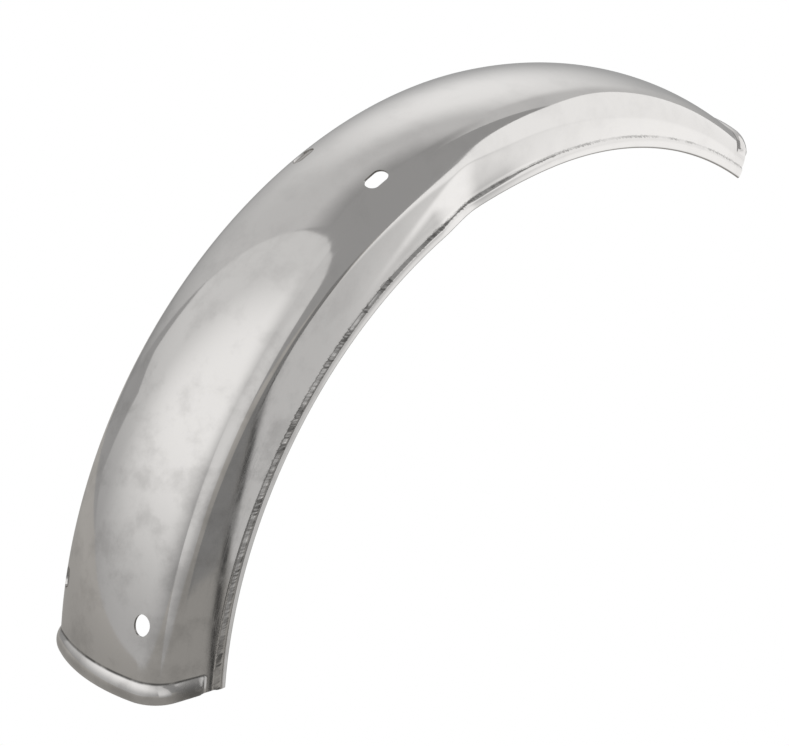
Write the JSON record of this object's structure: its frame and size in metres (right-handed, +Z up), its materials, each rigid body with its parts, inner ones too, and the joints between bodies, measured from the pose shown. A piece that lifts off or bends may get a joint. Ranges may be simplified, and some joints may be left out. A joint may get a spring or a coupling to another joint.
{
  "type": "scooter mudguard",
  "caption": "Pressed front mudguard in polished sheet steel: crowned channel round the wheel arc, rolled lips, end beads, fork recesses, slots and strut holes.",
  "frame": {"origin": "midway between the two fork slots, level with the outer face of the sheet at the slots", "axes": "+X forward along the direction of travel, +Y along the wheel axle to the left, +Z up, with the guard as it sits on the wheel"},
  "size_m": [0.4552, 0.0908, 0.2625],
  "materials": {
    "polished_steel": "polished stainless steel sheet"
  },
  "bodies": {
    "root": {"mudguard": "polished_steel"}
  },
  "joints": []
}
